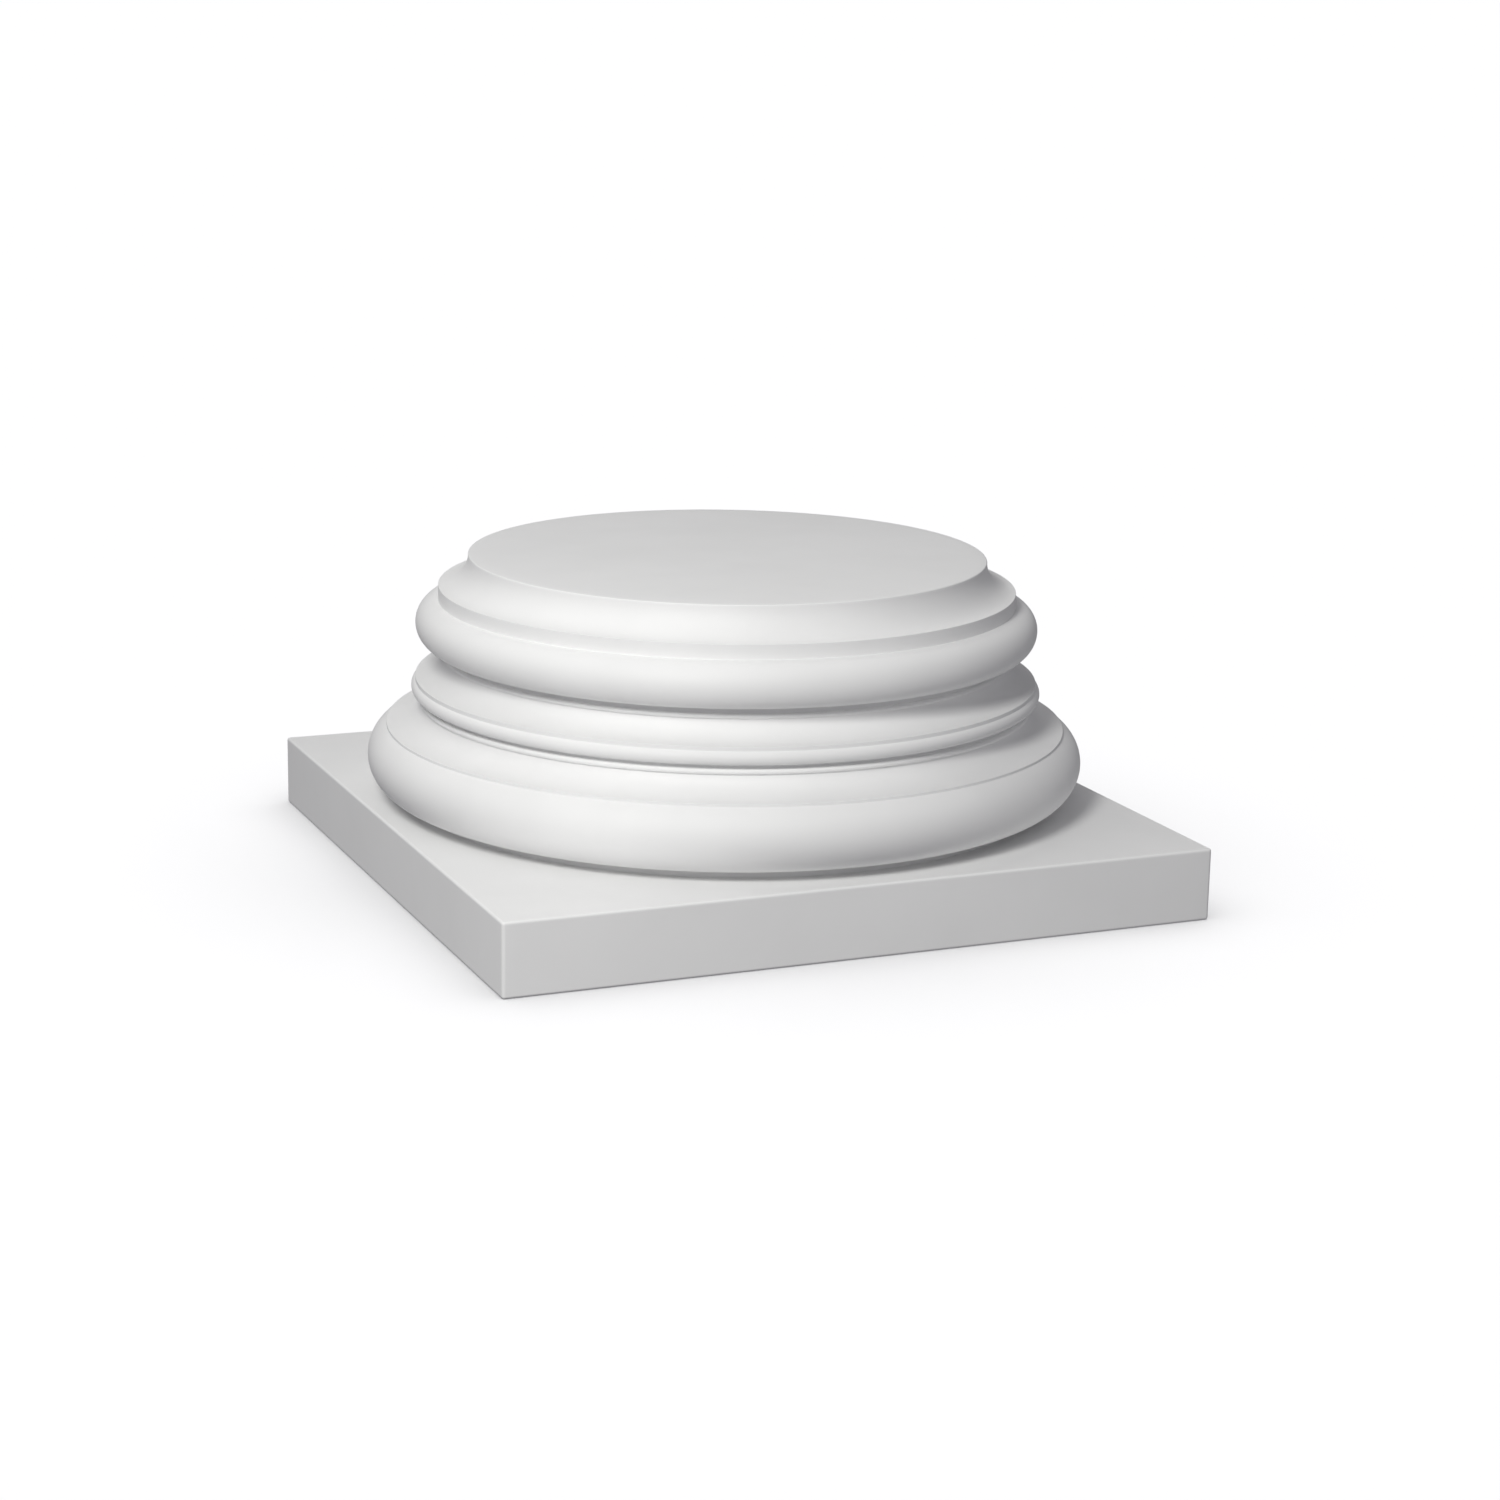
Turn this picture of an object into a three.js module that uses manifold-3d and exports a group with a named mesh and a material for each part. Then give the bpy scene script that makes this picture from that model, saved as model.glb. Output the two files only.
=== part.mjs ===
// A moulded column base: a square plinth that carries two tori, two scotias and a bead
// below a flat round seat for the column. The whole base is one casting.
// Millimetres, +Z up, origin at the centre of the underside.

import * as THREE from "three";
import { mergeVertices } from "three/addons/utils/BufferGeometryUtils.js";
import Module from "manifold-3d";

const wasm = await Module();
wasm.setup();

// Seat of the column, and the cove that flares out below it
const seatDiameter = 302.6;
const seatArris = 0.8;
const coveSpread = 17.3;
const coveHeight = 17.25;

// Fillet and upper torus, with the soffit that leads in to the upper neck
const upperFilletHeight = 8.6;
const upperTorusRadius = 13.25;
const upperSoffit = 4.5;
const upperNeckHeight = 4;

// Upper scotia, with a small rounded lip above it and a narrow fillet below
const upperLedge = 1;
const upperLipRadius = 1.35;
const upperScotiaHeight = 11.5;
const upperScotiaSpread = 17;
const beadFilletHeight = 2.3;

// Bead between the scotias. The angle says where the narrow fillet rises from it.
const beadRadius = 4.2;
const beadFilletAngle = 65;
const lowerSoffit = 2.7;
const lowerNeckHeight = 2.6;

// Lower scotia
const lowerLedge = 0.9;
const lowerLipRadius = 1.6;
const lowerScotiaHeight = 11;
const lowerScotiaSpread = 20.6;
const torusFilletHeight = 1.6;

// Lower torus, and the foot that sets it off from the plinth
const lowerTorusRadius = 20;
const torusFilletAngle = 63;
const footSoffit = 4;
const footHeight = 5;

// Plinth: its faces line up with the lower torus
const plinthHeight = 41.5;
const plinthCornerRadius = 2;
const plinthArris = 1.5;

// How finely round things are faceted
const turnSegments = 64;
const torusSteps = 10;
const coveSteps = 6;
const scotiaSteps = 6;
const beadSteps = 5;
const lipSteps = 4;
const arrisSteps = 2;
const cornerSteps = 3;

// How far the round mouldings reach into the plinth before the two are joined
const joinDepth = 5;

// Radii, from the seat down
const seatRadius = seatDiameter / 2;
const upperFilletRadius = seatRadius + coveSpread;
const upperNeckRadius = upperFilletRadius - upperSoffit;
const upperLipCentre = upperNeckRadius + upperLedge;
const upperRimRadius = upperLipCentre + upperScotiaSpread;
const beadCentre = upperRimRadius - beadRadius * cosine(beadFilletAngle);
const lowerNeckRadius = beadCentre - lowerSoffit;
const lowerLipCentre = lowerNeckRadius + lowerLedge;
const lowerRimRadius = lowerLipCentre + lowerScotiaSpread;
const lowerTorusCentre = lowerRimRadius - lowerTorusRadius * cosine(torusFilletAngle);
const footRadius = lowerTorusCentre - footSoffit;
const plinthWidth = 2 * (lowerTorusCentre + lowerTorusRadius);

const primedWhite = new THREE.MeshStandardMaterial({ color: 0xe9e9ea, roughness: 0.6, metalness: 0 });

function cosine(degrees) {
  return Math.cos(THREE.MathUtils.degToRad(degrees));
}

// A moulding profile drawn upwards: x is the radius, y the height.
class Profile {
  constructor(radius, height) {
    this.points = [new THREE.Vector2(radius, height)];
  }

  get end() {
    return this.points[this.points.length - 1];
  }

  lineTo(radius, height) {
    this.points.push(new THREE.Vector2(radius, height));
  }

  outTo(radius) {
    this.lineTo(radius, this.end.y);
  }

  up(height) {
    this.lineTo(this.end.x, this.end.y + height);
  }

  // Convex round that starts at its lowest point and ends at an angle above the horizontal.
  roll(radius, endAngle, steps) {
    const { x, y } = this.end;
    for (let i = 1; i <= steps; i += 1) {
      const angle = THREE.MathUtils.degToRad(-90 + (endAngle + 90) * i / steps);
      this.lineTo(x + radius * Math.cos(angle), y + radius + radius * Math.sin(angle));
    }
  }

  // Quarter hollow that starts level at the rim and ends upright, further in and higher up.
  hollow(spread, height, steps) {
    const { x, y } = this.end;
    for (let i = 1; i <= steps; i += 1) {
      const angle = Math.PI / 2 * i / steps;
      this.lineTo(x - spread * Math.sin(angle), y + height - height * Math.cos(angle));
    }
  }

  // Quarter round that ends level, at the edge of a flat top.
  roundOver(radius, steps) {
    const { x, y } = this.end;
    for (let i = 1; i <= steps; i += 1) {
      const angle = Math.PI / 2 * i / steps;
      this.lineTo(x - radius + radius * Math.cos(angle), y + radius * Math.sin(angle));
    }
  }
}

function mouldingProfile() {
  const profile = new Profile(0, plinthHeight - joinDepth);
  profile.outTo(footRadius);
  profile.up(joinDepth + footHeight);

  // Lower torus and lower scotia
  profile.outTo(lowerTorusCentre);
  profile.roll(lowerTorusRadius, torusFilletAngle, torusSteps);
  profile.up(torusFilletHeight);
  profile.hollow(lowerScotiaSpread, lowerScotiaHeight, scotiaSteps);
  profile.roll(lowerLipRadius, 90, lipSteps);
  profile.outTo(lowerNeckRadius);
  profile.up(lowerNeckHeight);

  // Bead and upper scotia
  profile.outTo(beadCentre);
  profile.roll(beadRadius, beadFilletAngle, beadSteps);
  profile.up(beadFilletHeight);
  profile.hollow(upperScotiaSpread, upperScotiaHeight, scotiaSteps);
  profile.roll(upperLipRadius, 90, lipSteps);
  profile.outTo(upperNeckRadius);
  profile.up(upperNeckHeight);

  // Upper torus, fillet, cove and seat
  profile.outTo(upperFilletRadius);
  profile.roll(upperTorusRadius, 90, torusSteps);
  profile.up(upperFilletHeight);
  profile.hollow(coveSpread, coveHeight, coveSteps);
  profile.roundOver(seatArris, arrisSteps);
  profile.outTo(0);
  return profile.points;
}

function turnedMouldings() {
  const geometry = new THREE.LatheGeometry(mouldingProfile(), turnSegments);
  geometry.rotateX(Math.PI / 2);
  return geometry;
}

function roundedSquare(width, radius) {
  const half = width / 2;
  const shape = new THREE.Shape();
  shape.moveTo(half, radius - half);
  shape.lineTo(half, half - radius);
  shape.absarc(half - radius, half - radius, radius, 0, Math.PI / 2);
  shape.absarc(radius - half, half - radius, radius, Math.PI / 2, Math.PI);
  shape.absarc(radius - half, radius - half, radius, Math.PI, Math.PI * 3 / 2);
  shape.absarc(half - radius, radius - half, radius, Math.PI * 3 / 2, Math.PI * 2);
  return shape;
}

// The bevel adds the arris all round, so the outline and its corners start that much smaller.
function plinthBlock() {
  const outline = roundedSquare(plinthWidth - 2 * plinthArris, plinthCornerRadius - plinthArris);
  const geometry = new THREE.ExtrudeGeometry(outline, {
    depth: plinthHeight - 2 * plinthArris,
    curveSegments: cornerSteps,
    bevelEnabled: true,
    bevelThickness: plinthArris,
    bevelSize: plinthArris,
    bevelSegments: arrisSteps,
  });
  geometry.translate(0, 0, plinthArris);
  return geometry;
}

// A closed mesh with merged corners and no empty triangles, as a solid.
function toSolid(geometry) {
  geometry.deleteAttribute("normal");
  geometry.deleteAttribute("uv");
  const merged = mergeVertices(geometry);
  const corners = merged.index.array;
  const faces = [];
  for (let i = 0; i < corners.length; i += 3) {
    const [a, b, c] = corners.slice(i, i + 3);
    if (a !== b && b !== c && c !== a) {
      faces.push(a, b, c);
    }
  }
  return new wasm.Manifold(new wasm.Mesh({
    numProp: 3,
    vertProperties: Float32Array.from(merged.attributes.position.array),
    triVerts: Uint32Array.from(faces),
  }));
}

function toGeometry(solid) {
  const mesh = solid.getMesh();
  const geometry = new THREE.BufferGeometry();
  geometry.setAttribute("position", new THREE.BufferAttribute(mesh.vertProperties, 3));
  geometry.setIndex(new THREE.BufferAttribute(mesh.triVerts, 1));
  geometry.computeVertexNormals();
  return geometry;
}

function columnBase() {
  const casting = toSolid(plinthBlock()).add(toSolid(turnedMouldings()));
  const mesh = new THREE.Mesh(toGeometry(casting), primedWhite);
  mesh.name = "column_base";
  return mesh;
}

const group = new THREE.Group();
group.add(columnBase());

export default group;
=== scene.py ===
import math

import bpy
import numpy as np
from mathutils import Matrix, Vector


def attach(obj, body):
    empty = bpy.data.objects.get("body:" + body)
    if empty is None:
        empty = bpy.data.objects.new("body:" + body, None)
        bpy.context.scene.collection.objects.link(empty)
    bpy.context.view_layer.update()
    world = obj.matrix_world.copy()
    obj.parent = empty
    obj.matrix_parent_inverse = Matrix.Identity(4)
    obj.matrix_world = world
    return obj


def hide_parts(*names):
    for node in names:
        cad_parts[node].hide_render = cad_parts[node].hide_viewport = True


print("Loading the packed frame")
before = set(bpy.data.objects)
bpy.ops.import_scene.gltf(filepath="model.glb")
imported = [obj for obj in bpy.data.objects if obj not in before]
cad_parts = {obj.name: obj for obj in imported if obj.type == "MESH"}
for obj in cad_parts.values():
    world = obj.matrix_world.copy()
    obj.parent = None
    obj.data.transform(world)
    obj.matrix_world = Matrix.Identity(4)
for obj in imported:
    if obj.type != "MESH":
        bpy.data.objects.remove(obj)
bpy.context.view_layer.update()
scene = bpy.context.scene
scene.view_settings.view_transform = "Standard"

mm = 0.001
photoSize = 1500  # the photograph is square, so pixels along either side

# Camera: where it stands round the base, and where the aim point falls in the photograph
cameraView = {
    "focalLength": 77.17,         # mm
    "frameWidth": 36.0,           # mm
    "azimuth": -23.28,            # degrees, negative towards the left of the -Y face
    "elevation": 14.01,           # degrees above the horizon
    "roll": 1.08,                 # degrees
    "distance": 1.9026,           # metres from the aim point
    "aimHeight": 0.0840,          # metres up the axis of the rings
    "aimPixel": (725.0, 720.5),   # from the photograph's upper left corner
}


# Unit vectors: back points from the aim point to the camera by azimuth and elevation, right is level,
# and the roll turns right and up about back. The place is the aim point plus back times the distance,
# and the sideways steps that bring the aim point to its own pixel.
def placeCamera(view):
    azimuth, elevation, roll = (math.radians(view[k]) for k in ("azimuth", "elevation", "roll"))
    back = Vector((math.sin(azimuth) * math.cos(elevation),
                   -math.cos(azimuth) * math.cos(elevation),
                   math.sin(elevation)))
    level = Vector((math.cos(azimuth), math.sin(azimuth), 0))
    upright = back.cross(level)
    right = math.cos(roll) * level + math.sin(roll) * upright
    up = math.cos(roll) * upright - math.sin(roll) * level

    focalPixels = view["focalLength"] / view["frameWidth"] * photoSize
    stepRight = (photoSize / 2 - view["aimPixel"][0]) / focalPixels
    stepUp = (view["aimPixel"][1] - photoSize / 2) / focalPixels
    aim = Vector((0, 0, view["aimHeight"]))
    place = aim + view["distance"] * (back + stepRight * right + stepUp * up)

    data = bpy.data.cameras.new("photoCamera")
    data.lens = view["focalLength"]
    data.sensor_width = view["frameWidth"]
    camera = bpy.data.objects.new("photoCamera", data)
    camera.matrix_world = Matrix.Translation(place) @ Matrix((right, up, back)).transposed().to_4x4()
    scene.collection.objects.link(camera)
    scene.camera = camera


print("Placing the camera")
placeCamera(cameraView)

# The casting, in millimetres, from the seat down
casting = {
    "seatDiameter": 302.6,
    "seatArris": 0.8,
    "coveSpread": 17.3,
    "coveHeight": 17.25,
    "upperFilletHeight": 8.6,
    "upperTorusRadius": 13.25,
    "upperSoffit": 4.5,
    "upperNeckHeight": 4.0,
    "upperLedge": 1.0,
    "upperLipRadius": 1.35,
    "upperScotiaHeight": 11.5,
    "upperScotiaSpread": 17.0,
    "beadFilletHeight": 2.3,
    "beadRadius": 4.2,
    "beadFilletAngle": 65,
    "lowerSoffit": 2.7,
    "lowerNeckHeight": 2.6,
    "lowerLedge": 0.9,
    "lowerLipRadius": 1.6,
    "lowerScotiaHeight": 11.0,
    "lowerScotiaSpread": 20.6,
    "torusFilletHeight": 1.6,
    "lowerTorusRadius": 20.0,
    "torusFilletAngle": 63,
    "footSoffit": 4.0,
    "footHeight": 5.0,
    "plinthHeight": 41.5,
    "plinthCornerRadius": 2.0,
    "plinthArris": 1.5,
    "softEdge": 0.3,        # rounding that the mould and the primer leave on every other edge
    "sharpTurn": 25,        # degrees: edges that turn more than this are rounded
    "roundShare": 0.4,      # of the side beside it, the most that a rounding takes up
    "edgeSteps": 4,
    "stepLength": 1.3,      # along rolls and hollows
    "leastSteps": 6,        # on the smallest of them
    "supportGap": 0.2,      # a ring this close to each rounding keeps the flats beside it flat
    "gapsPerSide": 4,       # a side shorter than this many gaps has no room for such a ring
    "footRun": 6.0,         # where the mouldings' profile starts on the plinth's top, outside the foot
    "seatRun": 8.0,         # and how far in from the seat's edge it ends
    "straightSteps": 30,    # grid lines on each half side of the plinth
    "cornerSteps": 12,      # and round each of its corners
}


# Points along a line or curve of the profile: angle runs evenly from start to end, and a point is
# centre + (spread * cos(angle), rise * sin(angle)).
def arcPoints(centre, spread, rise, start, end, steps):
    angles = np.radians(np.linspace(start, end, steps + 1))
    return np.column_stack([centre[0] + spread * np.cos(angles), centre[1] + rise * np.sin(angles)])


class Profile:
    # A moulding profile drawn upwards: first the radius, then the height, both in mm
    def __init__(self, radius, height, c):
        self.runs = [np.array([[radius, height]])]
        self.stepLength = c["stepLength"]
        self.leastSteps = c["leastSteps"]

    def end(self):
        return self.runs[-1][-1]

    def outTo(self, radius):
        self.runs.append(np.array([[radius, self.end()[1]]]))

    def up(self, height):
        self.runs.append(self.end()[None] + [0, height])

    # The step count is the curve's rough length, angle * root of the mean square of its two half widths,
    # over the step length.
    def curve(self, centre, spread, rise, start, end):
        length = math.radians(abs(end - start)) * math.hypot(spread, rise) / math.sqrt(2)
        steps = max(self.leastSteps, math.ceil(length / self.stepLength))
        self.runs.append(arcPoints(centre, spread, rise, start, end, steps)[1:])

    # Convex round from its lowest point to an angle above the horizontal
    def roll(self, radius, endAngle):
        x, y = self.end()
        self.curve((x, y + radius), radius, radius, -90, endAngle)

    # Quarter hollow: level at the rim, upright further in and higher up
    def hollow(self, spread, height):
        x, y = self.end()
        self.curve((x, y + height), spread, height, 270, 180)

    # Quarter round that ends level, at the edge of a flat top
    def roundOver(self, radius):
        x, y = self.end()
        self.curve((x - radius, y), radius, radius, 0, 90)

    def points(self):
        return np.concatenate(self.runs)


# Every corner that turns sharply becomes a small round: it starts and ends the same distance from the
# corner, radius * tan(half the turn), and between them the points follow the circle through both.
# On each side that goes straight on for long enough, one more point stands just past the round.
def softenCorners(points, c):
    gap = c["supportGap"]
    room = c["gapsPerSide"] * gap
    share = c["roundShare"]
    before = np.diff(points, axis=0)
    lengths = np.linalg.norm(before, axis=1)
    ways = before / lengths[:, None]
    pieces = [points[:1]]
    for i in range(1, len(points) - 1):
        (x, y), (nextX, nextY) = ways[i - 1], ways[i]
        turn = math.atan2(x * nextY - y * nextX, x * nextX + y * nextY)
        if abs(math.degrees(turn)) < c["sharpTurn"]:
            pieces.append(points[i:i + 1])
            continue
        halfTurn = math.tan(abs(turn) / 2)
        reach = min(c["softEdge"] * halfTurn, share * lengths[i - 1], share * lengths[i])
        size = reach / halfTurn
        side = math.copysign(1, turn) * np.array([-y, x])
        centre = points[i] - reach * ways[i - 1] + size * side
        angles = np.linspace(0, abs(turn), c["edgeSteps"] + 1)[:, None]
        rounded = centre + size * (np.sin(angles) * ways[i - 1] - np.cos(angles) * side)
        if lengths[i - 1] > room:
            pieces.append(points[i:i + 1] - (reach + gap) * ways[i - 1])
        pieces.append(rounded)
        if lengths[i] > room:
            pieces.append(points[i:i + 1] + (reach + gap) * ways[i])
    pieces.append(points[-1:])
    return np.concatenate(pieces)


# Grid lines round the base. The circle is (cos, sin) of the angle. The square is the point of a square
# of half side 1: along each side it moves evenly and it waits at the corners. The facing is the outward
# unit vector there, which turns a quarter while the square point waits.
def gridLines(straightSteps, cornerSteps):
    quarterSteps = 2 * straightSteps + cornerSteps
    j = np.arange(quarterSteps)
    circleAngle = np.pi / 2 * j / quarterSteps
    turn = np.pi / 2 * np.clip((j - straightSteps) / cornerSteps, 0, 1)
    across = np.clip((quarterSteps - j) / straightSteps, 0, 1)
    along = np.clip(j / straightSteps, 0, 1)
    quarter = np.stack([
        np.column_stack([np.cos(circleAngle), np.sin(circleAngle)]),
        np.column_stack([across, along]),
        np.column_stack([np.cos(turn), np.sin(turn)]),
    ])
    quarterTurn = np.array([[0, 1], [-1, 0]])
    return np.concatenate([quarter @ np.linalg.matrix_power(quarterTurn, q) for q in range(4)], axis=1)


# Outline of the plinth from the edge of its underside to the edge of its top, as reach and height. Each
# arris is a quarter circle, centre + arris * (cos, sin), with one more point just past each end.
def plinthProfile(c, half):
    arris = c["plinthArris"]
    top = c["plinthHeight"]
    steps = 2 * c["edgeSteps"]
    gap = c["supportGap"]
    return np.concatenate([
        [[half - arris - gap, 0]],
        arcPoints((half - arris, arris), arris, arris, -90, 0, steps),
        [[half, arris + gap], [half, top - arris - gap]],
        arcPoints((half - arris, top - arris), arris, arris, 0, 90, steps),
        [[half - arris - gap, top]],
    ])


# The turned mouldings from the foot on the plinth to the seat: the same runs, in the same order, as the
# solid has. It gives the profile as radius and height, and half the plinth's width.
def mouldingProfile(c):
    def inward(radius, angle):
        return radius * math.cos(math.radians(angle))

    seatRadius = c["seatDiameter"] / 2
    upperFilletRadius = seatRadius + c["coveSpread"]
    upperNeckRadius = upperFilletRadius - c["upperSoffit"]
    upperRim = upperNeckRadius + c["upperLedge"] + c["upperScotiaSpread"]
    beadCentre = upperRim - inward(c["beadRadius"], c["beadFilletAngle"])
    lowerNeckRadius = beadCentre - c["lowerSoffit"]
    lowerRim = lowerNeckRadius + c["lowerLedge"] + c["lowerScotiaSpread"]
    lowerTorusCentre = lowerRim - inward(c["lowerTorusRadius"], c["torusFilletAngle"])
    footRadius = lowerTorusCentre - c["footSoffit"]

    line = Profile(footRadius + c["footRun"], c["plinthHeight"], c)
    line.outTo(footRadius)
    line.up(c["footHeight"])
    line.outTo(lowerTorusCentre)
    line.roll(c["lowerTorusRadius"], c["torusFilletAngle"])
    line.up(c["torusFilletHeight"])
    line.hollow(c["lowerScotiaSpread"], c["lowerScotiaHeight"])
    line.roll(c["lowerLipRadius"], 90)
    line.outTo(lowerNeckRadius)
    line.up(c["lowerNeckHeight"])
    line.outTo(beadCentre)
    line.roll(c["beadRadius"], c["beadFilletAngle"])
    line.up(c["beadFilletHeight"])
    line.hollow(c["upperScotiaSpread"], c["upperScotiaHeight"])
    line.roll(c["upperLipRadius"], 90)
    line.outTo(upperNeckRadius)
    line.up(c["upperNeckHeight"])
    line.outTo(upperFilletRadius)
    line.roll(c["upperTorusRadius"], 90)
    line.up(c["upperFilletHeight"])
    line.hollow(c["coveSpread"], c["coveHeight"])
    line.roundOver(c["seatArris"])
    line.outTo(seatRadius - c["seatRun"])
    points = softenCorners(line.points(), c)[1:]  # the plinth's top runs straight to the foot's corner
    return points, lowerTorusCentre + c["lowerTorusRadius"]


# A closed mesh from rings of points: quads between neighbouring rings, and a fan to a middle point at
# the first and the last ring. Rings run anticlockwise seen from above, from the underside up.
def ringMesh(name, rings, firstPoint, lastPoint):
    count, around = rings.shape[:2]
    points = np.concatenate([rings.reshape(-1, 3), [firstPoint, lastPoint]])
    k = np.arange(around)
    nextK = np.roll(k, -1)
    row = np.arange(count - 1)[:, None] * around
    quads = np.stack([row + k, row + nextK, row + around + nextK, row + around + k], axis=-1)
    first = np.column_stack([np.full(around, count * around), nextK, k])
    top = (count - 1) * around
    last = np.column_stack([np.full(around, count * around + 1), top + k, top + nextK])
    mesh = bpy.data.meshes.new(name)
    faces = quads.reshape(-1, 4).tolist() + first.tolist() + last.tolist()
    mesh.from_pydata(points.tolist(), [], faces)
    mesh.polygons.foreach_set("use_smooth", np.ones(len(mesh.polygons), bool))
    mesh.update()
    piece = bpy.data.objects.new(name, mesh)
    scene.collection.objects.link(piece)
    return piece


# Rings of the plinth are square point * (half side less the corner radius) + facing * (corner radius
# less the arris there). Rings of the mouldings are circle * radius.
def buildCasting(c):
    circle, square, facing = gridLines(c["straightSteps"], c["cornerSteps"])
    mouldings, half = mouldingProfile(c)
    plinth = plinthProfile(c, half)
    corner = c["plinthCornerRadius"]

    plan = np.concatenate([
        square * (half - corner) + facing * (plinth[:, :1, None] - half + corner),
        circle * mouldings[:, :1, None],
    ])
    heights = np.concatenate([plinth[:, 1], mouldings[:, 1]])
    level = np.broadcast_to(heights[:, None, None], plan.shape[:2] + (1,))
    rings = np.concatenate([plan, level], axis=2) * mm
    return ringMesh("columnBaseCasting", rings, (0, 0, 0), (0, 0, heights[-1] * mm))


print("Building the casting")
castingPiece = buildCasting(casting)
faceCount = len(castingPiece.data.polygons)
print("  %d faces, %.3f x %.3f x %.3f m" % (faceCount, *castingPiece.dimensions))


# sRGB hex to the linear colour that shaders take
def linearColour(hexCode):
    values = [int(hexCode[i:i + 2], 16) / 255 for i in (1, 3, 5)]
    return [v / 12.92 if v <= 0.04045 else ((v + 0.055) / 1.055) ** 2.4 for v in values] + [1]


# One node with its settings and its links: settings name properties, inputs name sockets, and an input
# is either a value or the output socket that feeds it.
def addNode(tree, kind, settings=None, inputs=None):
    node = tree.nodes.new(kind)
    for name, value in (settings or {}).items():
        setattr(node, name, value)
    for name, value in (inputs or {}).items():
        if isinstance(value, bpy.types.NodeSocket):
            tree.links.new(value, node.inputs[name])
        else:
            node.inputs[name].default_value = value
    return node


def newMaterial(name):
    material = bpy.data.materials.new(name)
    material.use_nodes = True
    material.node_tree.nodes.clear()
    return material, material.node_tree


primer = {
    "lightColour": "#f4f4f4",
    "shadedColour": "#f0f0f0",   # where the primer has gone on a little thinner
    "cloudSize": 70.0,           # mm across a patch of thinner primer
    "cloudDetail": 3.0,
    "cloudBreakup": 0.55,
    "colourRange": (0.3, 0.65),  # of the clouds, from shaded to light
    "roughRange": (0.3, 0.7),    # of the clouds, from the duller to the smoother finish
    "roughness": (0.60, 0.68),   # smoother, duller
    "refraction": 1.46,          # IOR of acrylic primer
    "peelSize": 1.1,             # mm, drawn coarser than the real 0.5 mm so that it shows
    "peelDetail": 2.0,
    "peelDepth": 0.012,          # mm
    "wavePitch": 45.0,           # mm, the slight unevenness of a moulded skin
    "waveDetail": 1.0,
    "waveDepth": 0.03,           # mm
}


# White acrylic primer sprayed on a moulded polyurethane skin. The eye sees an even satin-matt white,
# with soft broad highlights on the rolls, a barely uneven sheen on the flats and a fine orange peel
# close up. Noise scales are cells in each metre, 1000 / size in mm.
def primedPolyurethane(p):
    material, tree = newMaterial("primedPolyurethane")
    where = addNode(tree, "ShaderNodeTexCoord").outputs["Object"]
    clouds = addNode(tree, "ShaderNodeTexNoise", {"noise_dimensions": "3D"}, {
        "Vector": where, "Scale": 1000 / p["cloudSize"],
        "Detail": p["cloudDetail"], "Roughness": p["cloudBreakup"]})
    colour = addNode(tree, "ShaderNodeValToRGB", None, {"Fac": clouds.outputs["Fac"]})
    shaded, light = colour.color_ramp.elements
    shaded.position, light.position = p["colourRange"]
    shaded.color = linearColour(p["shadedColour"])
    light.color = linearColour(p["lightColour"])
    rough = addNode(tree, "ShaderNodeMapRange", None, {
        "Value": clouds.outputs["Fac"], "From Min": p["roughRange"][0], "From Max": p["roughRange"][1],
        "To Min": p["roughness"][1], "To Max": p["roughness"][0]})
    waves = addNode(tree, "ShaderNodeTexNoise", {"noise_dimensions": "3D"}, {
        "Vector": where, "Scale": 1000 / p["wavePitch"], "Detail": p["waveDetail"]})
    peel = addNode(tree, "ShaderNodeTexNoise", {"noise_dimensions": "3D"}, {
        "Vector": where, "Scale": 1000 / p["peelSize"], "Detail": p["peelDetail"]})
    waveBump = addNode(tree, "ShaderNodeBump", None, {
        "Height": waves.outputs["Fac"], "Distance": p["waveDepth"] * mm})
    peelBump = addNode(tree, "ShaderNodeBump", None, {
        "Height": peel.outputs["Fac"], "Distance": p["peelDepth"] * mm,
        "Normal": waveBump.outputs["Normal"]})
    shader = addNode(tree, "ShaderNodeBsdfPrincipled", None, {
        "Base Color": colour.outputs["Color"], "Roughness": rough.outputs["Result"],
        "Normal": peelBump.outputs["Normal"], "IOR": p["refraction"]})
    addNode(tree, "ShaderNodeOutputMaterial", None, {"Surface": shader.outputs["BSDF"]})
    return material


print("Finishing the casting")
castingPiece.data.materials.append(primedPolyurethane(primer))
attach(castingPiece, "root")
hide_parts("column_base")

studio = {
    "floorSize": 600.0,           # metres
    "floorColour": "#f4f4f4",
    "floorRoughness": 0.9,
    "floorLampStrength": 2.75,
    "floorLampSpread": 110,       # degrees
    "softColour": "#fbfaff",      # a touch of blue in the shadows
    # Pairs of height and strength of the soft light: -1 is straight down and 1 straight up. Below the
    # horizon it stands for what a darker studio floor throws back.
    "softLight": ((-1.0, 0.24), (-0.02, 0.24), (0.0, 0.50), (0.03, 0.50), (0.16, 0.24), (1.0, 0.24)),
    "lampAim": 0.09,              # metres above the floor
    "lampColour": "#fffffc",
    # name, azimuth round the base, elevation, distance in metres, width in metres, strength
    "lamps": [
        ("keyBox", -39, 34, 1.6, 0.42, 1.77),
        ("backBox", 160, 60, 1.5, 1.0, 0.26),
        ("sideBox", -125, 60, 1.5, 1.0, 0.44),
    ],
}


# Only what is in the collection takes light from the lamp.
def lightOnly(lamp, *receivers):
    collection = bpy.data.collections.new(lamp.name + "Receivers")
    for receiver in receivers:
        collection.objects.link(receiver)
    lamp.light_linking.receiver_collection = collection


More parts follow.
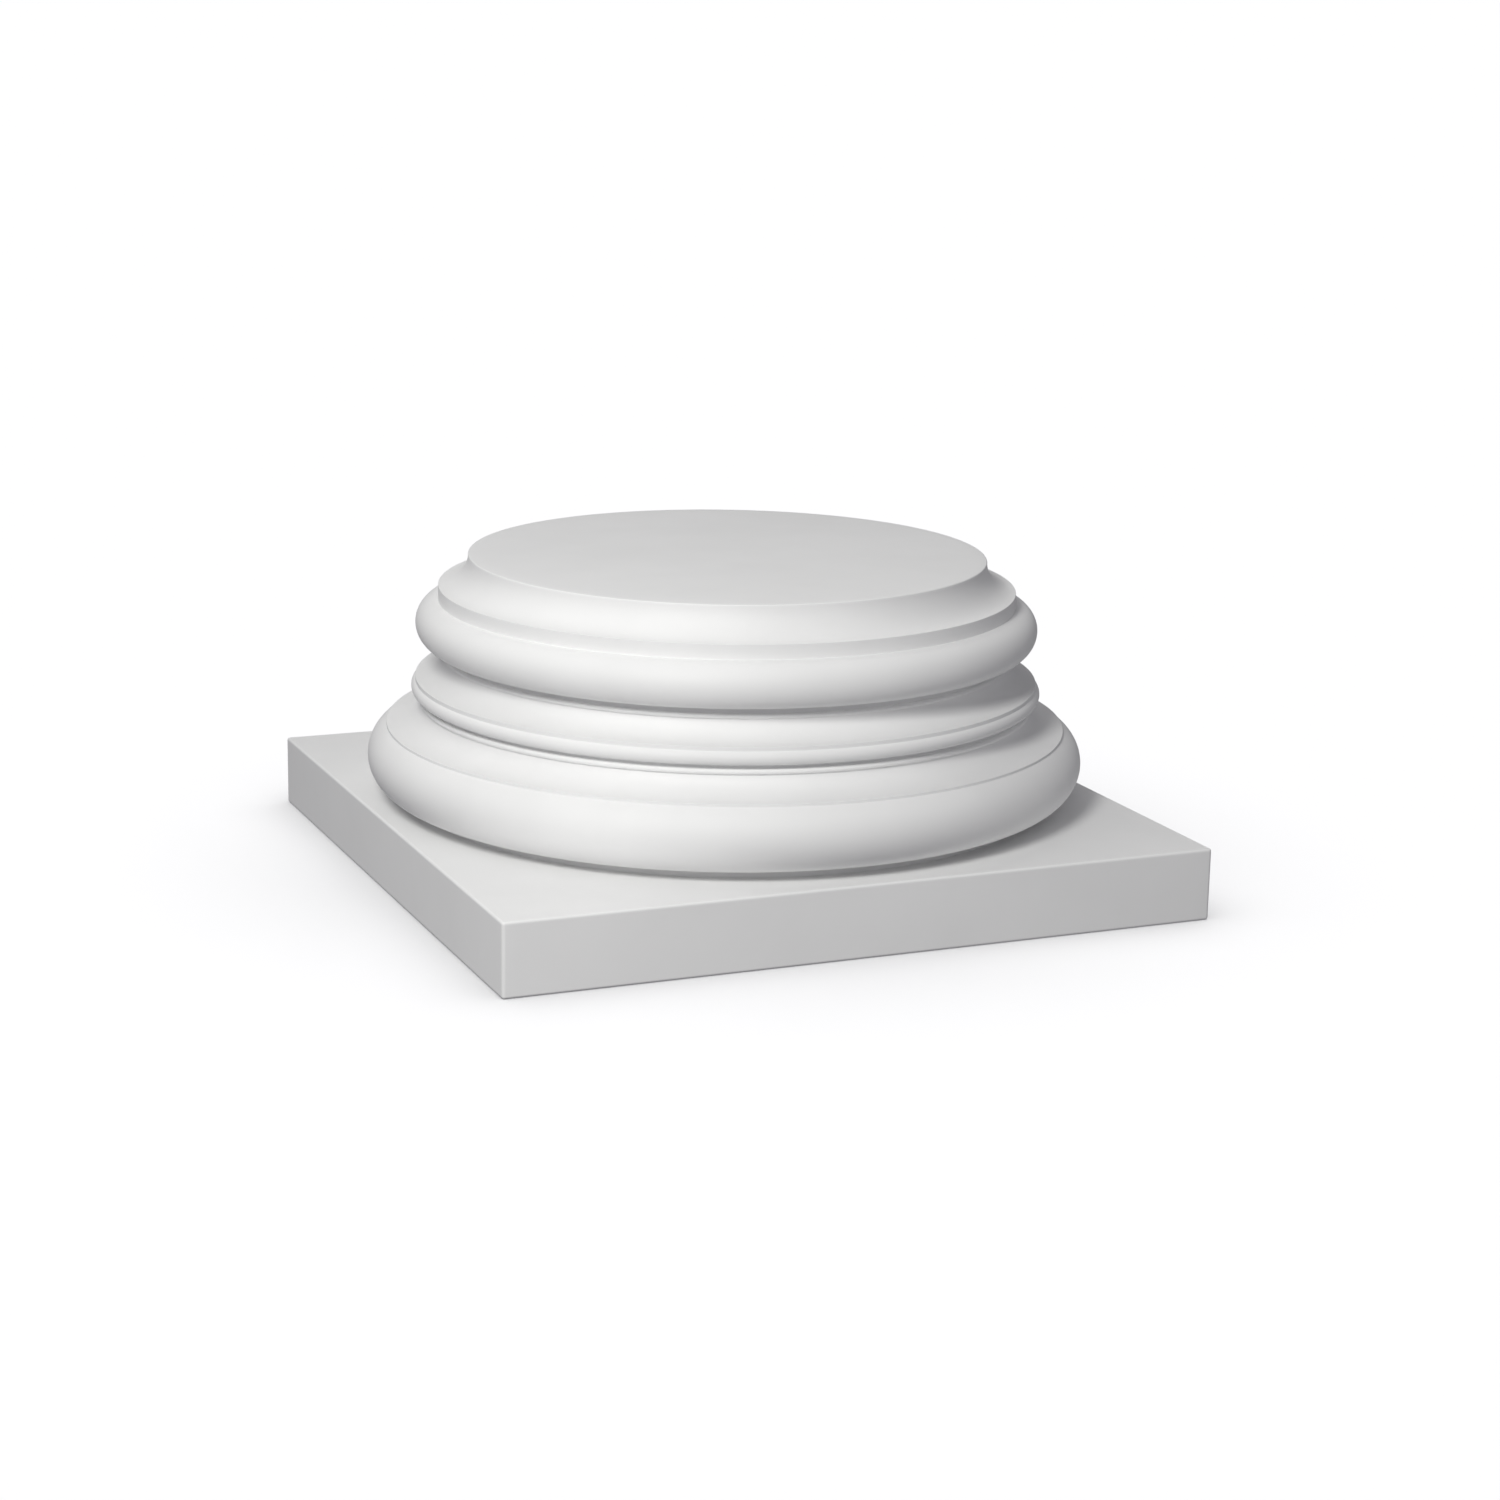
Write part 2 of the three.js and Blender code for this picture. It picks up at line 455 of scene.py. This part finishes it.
# White seamless paper: a plain matt floor that runs out of sight. It has a wide lamp of its own
# straight above, which keeps it pale everywhere and leaves a soft shadow round the base. It throws no
# light back, because the photographed base stood on something darker.
def studioFloor(s):
    half = s["floorSize"] / 2
    mesh = bpy.data.meshes.new("studioFloor")
    corners = [(-half, -half, 0), (half, -half, 0), (half, half, 0), (-half, half, 0)]
    mesh.from_pydata(corners, [], [(0, 1, 2, 3)])
    floor = bpy.data.objects.new("studioFloor", mesh)
    floor.visible_diffuse = False
    floor.visible_glossy = False
    scene.collection.objects.link(floor)
    material, tree = newMaterial("seamlessPaper")
    shader = addNode(tree, "ShaderNodeBsdfPrincipled", None, {
        "Base Color": linearColour(s["floorColour"]), "Roughness": s["floorRoughness"],
        "Specular IOR Level": 0.0})
    addNode(tree, "ShaderNodeOutputMaterial", None, {"Surface": shader.outputs["BSDF"]})
    mesh.materials.append(material)

    data = bpy.data.lights.new("floorLamp", "SUN")
    data.energy = s["floorLampStrength"]
    data.angle = math.radians(s["floorLampSpread"])
    lamp = bpy.data.objects.new("floorLamp", data)
    scene.collection.objects.link(lamp)
    lightOnly(lamp, floor)


# The world's strength goes by the height of the direction looked in. A ramp runs from 0 to 1, so a
# height stands at half of (1 + height) on it.
def softWorld(s):
    world = bpy.data.worlds.new("softStudio")
    world.use_nodes = True
    tree = world.node_tree
    tree.nodes.clear()
    direction = addNode(tree, "ShaderNodeTexCoord").outputs["Generated"]
    height = addNode(tree, "ShaderNodeSeparateXYZ", None, {"Vector": direction}).outputs["Z"]
    place = addNode(tree, "ShaderNodeMapRange", None, {
        "Value": height, "From Min": -1.0, "From Max": 1.0})
    ramp = addNode(tree, "ShaderNodeValToRGB", None, {"Fac": place.outputs["Result"]})
    stops = ramp.color_ramp.elements
    while len(stops) < len(s["softLight"]):
        stops.new(0.5)  # moved to its own place below
    tint = linearColour(s["softColour"])
    for stop, (level, strength) in zip(stops, s["softLight"]):
        stop.position = (1 + level) / 2
        stop.color = [strength * t for t in tint[:3]] + [1]
    background = addNode(tree, "ShaderNodeBackground", None, {"Color": ramp.outputs["Color"]})
    addNode(tree, "ShaderNodeOutputWorld", None, {"Surface": background.outputs["Background"]})
    scene.world = world


# Each lamp is a round soft box that faces the middle of the base, in the direction given by azimuth and
# elevation as the camera's is. Its strength is what reaches the base, so its power is strength * pi *
# distance squared.
def lightCasting(s, piece):
    for name, azimuth, elevation, distance, width, strength in s["lamps"]:
        a, e = math.radians(azimuth), math.radians(elevation)
        towards = Vector((math.sin(a) * math.cos(e), -math.cos(a) * math.cos(e), math.sin(e)))
        data = bpy.data.lights.new(name, "AREA")
        data.color = linearColour(s["lampColour"])[:3]
        data.shape = "DISK"
        data.size = width
        data.energy = strength * math.pi * distance ** 2
        lamp = bpy.data.objects.new(name, data)
        lamp.location = Vector((0, 0, s["lampAim"])) + distance * towards
        lamp.rotation_mode = "QUATERNION"
        lamp.rotation_quaternion = towards.to_track_quat("Z", "Y")
        lamp.visible_camera = False
        scene.collection.objects.link(lamp)
        lightOnly(lamp, piece)


print("Lighting the studio")
studioFloor(studio)
softWorld(studio)
lightCasting(studio, castingPiece)

print("Done")
